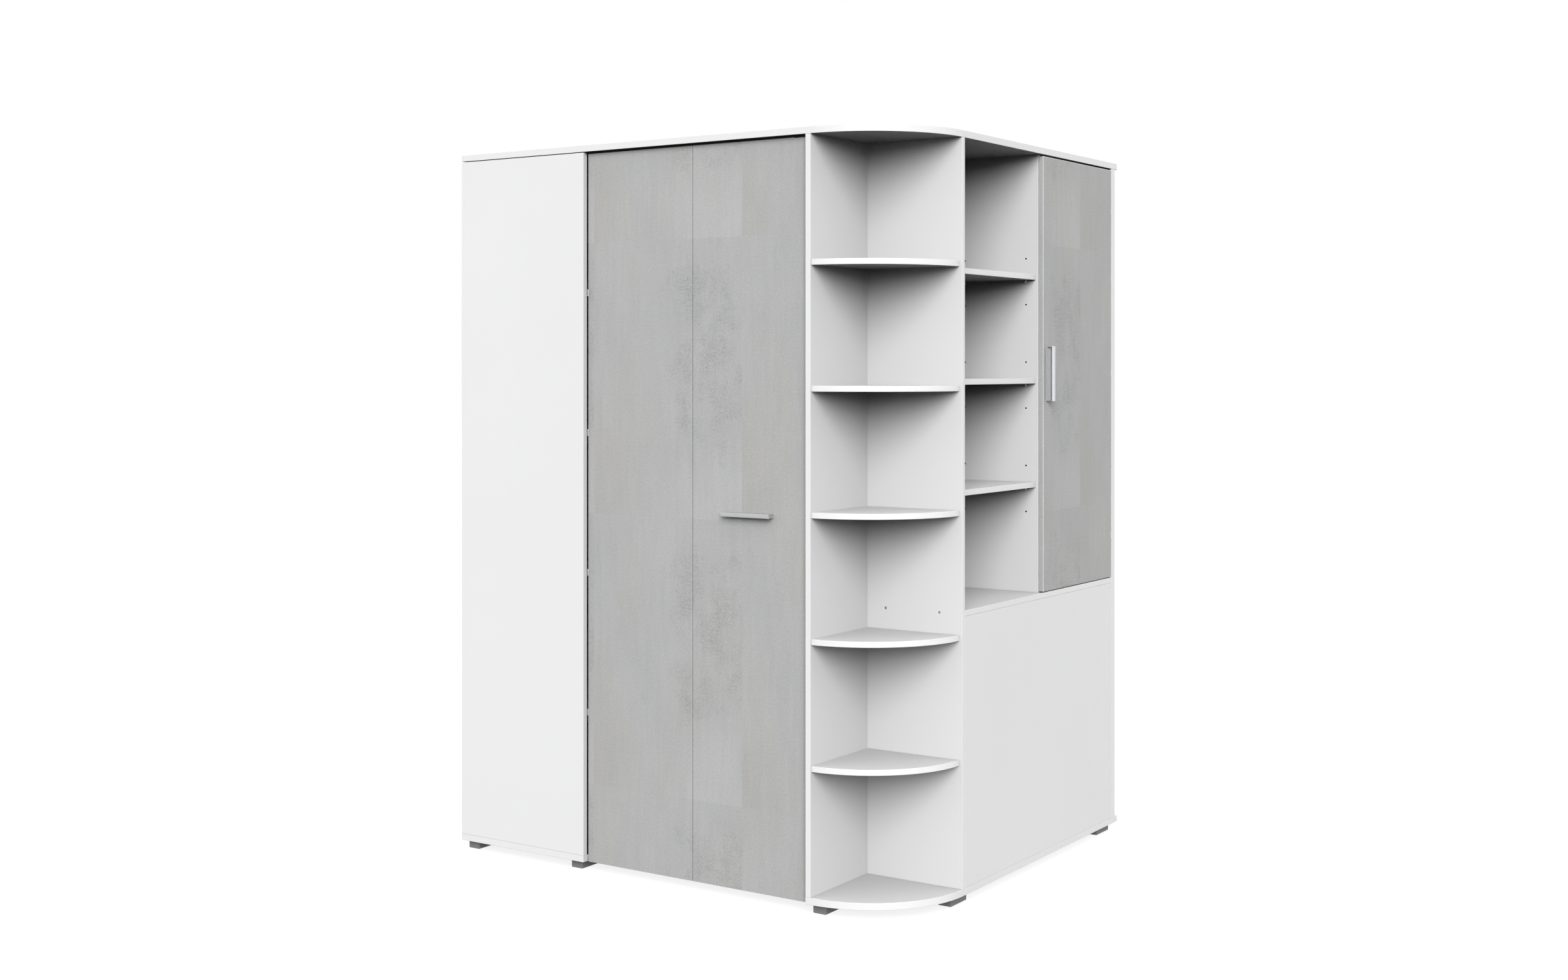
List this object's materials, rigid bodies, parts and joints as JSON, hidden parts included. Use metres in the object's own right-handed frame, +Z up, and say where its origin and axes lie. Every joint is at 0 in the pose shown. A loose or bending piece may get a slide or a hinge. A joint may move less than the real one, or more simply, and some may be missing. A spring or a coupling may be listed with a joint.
{
  "type": "corner wardrobe",
  "caption": "Tall white corner wardrobe with a concrete-look bifold walk-in door, quarter-round open niche, open shelf bay and a hinged cabinet door over a closed lower front.",
  "frame": {"origin": "on the floor, under the middle of the closed wardrobe's bounding box, handles included", "axes": "+Z up; the bifold door looks along -Y; the shelf wing's open face looks along +X; the room corner is at -X +Y"},
  "size_m": [1.498, 1.257, 1.99],
  "materials": {
    "white_board": "white melamine-faced chipboard, satin",
    "white_hardboard": "white lacquered hardboard, matt",
    "concrete_look_board": "concrete-look decor on chipboard, matt",
    "aluminium": "satin anodised",
    "steel": "nickel plated",
    "chrome": "polished",
    "black_track": "black lacquer, matt",
    "dark_plastic": "dark grey, matt"
  },
  "bodies": {
    "carcass": {"top_panel": "white_board", "left_base": "white_board", "right_base": "white_board", "front_panel": "white_board", "hinge_stile": "white_board", "left_partition": "white_board", "left_end_panel": "white_board", "niche_post": "white_board", "divider": "white_board", "cabinet_partition": "white_board", "rear_side": "white_board", "middle_shelf": "white_board", "lower_panel": "white_board", "lower_partition": "white_board", "corner_shelf_1": "white_board", "corner_shelf_2": "white_board", "corner_shelf_3": "white_board", "corner_shelf_4": "white_board", "corner_shelf_5": "white_board", "open_shelf_1": "white_board", "open_shelf_2": "white_board", "open_shelf_3": "white_board", "cabinet_shelf_1": "white_board", "cabinet_shelf_2": "white_board", "cabinet_shelf_3": "white_board", "left_shelf_1": "white_board", "left_shelf_2": "white_board", "left_shelf_3": "white_board", "left_shelf_4": "white_board", "hat_shelf": "white_board", "lower_shelf_1": "white_board", "lower_shelf_2": "white_board", "left_back": "white_hardboard", "rear_back": "white_hardboard", "cabinet_back": "white_hardboard", "right_shelf_supports": "steel", "left_shelf_supports": "steel", "middle_shelf_screws": "steel", "stile_hinge_plates": "steel", "leaf_hinge_pins": "steel", "side_hinge_plates": "steel", "door_hinge_pins": "steel", "clothes_rail": "chrome", "rail_sockets": "chrome", "guide_track": "black_track", "left_feet": "dark_plastic", "right_feet": "dark_plastic"},
    "hinge_side_leaf": {"left_leaf": "concrete_look_board", "leaf_hinge_plates": "steel", "fold_plates_left": "steel", "fold_pins": "steel"},
    "guided_leaf": {"right_leaf": "concrete_look_board", "fold_plates_right": "steel", "guide_plate": "steel", "guide_pin": "steel", "leaf_handle": "aluminium"},
    "cabinet_front": {"cabinet_door": "concrete_look_board", "door_hinge_plates": "steel", "cabinet_handle": "aluminium"}
  },
  "joints": [
    {"name": "bifold_hinge", "type": "hinge", "parent": "carcass", "child": "hinge_side_leaf", "pos_m": [-0.2945, -0.6043, 0.996], "axis": [0, 0, -1], "range_deg": [0, 85]},
    {"name": "bifold_fold", "type": "hinge", "parent": "hinge_side_leaf", "child": "guided_leaf", "pos_m": [0.06375, -0.5889, 0.996], "axis": [0, 0, 1], "range_deg": [0, 170]},
    {"name": "cabinet_hinge", "type": "hinge", "parent": "carcass", "child": "cabinet_front", "pos_m": [0.7248, 0.589, 1.36336], "axis": [0, 0, 1], "range_deg": [0, 90]}
  ],
  "couplings": [
    {"joint": "bifold_fold", "follows": "bifold_hinge", "ratio": 2}
  ]
}
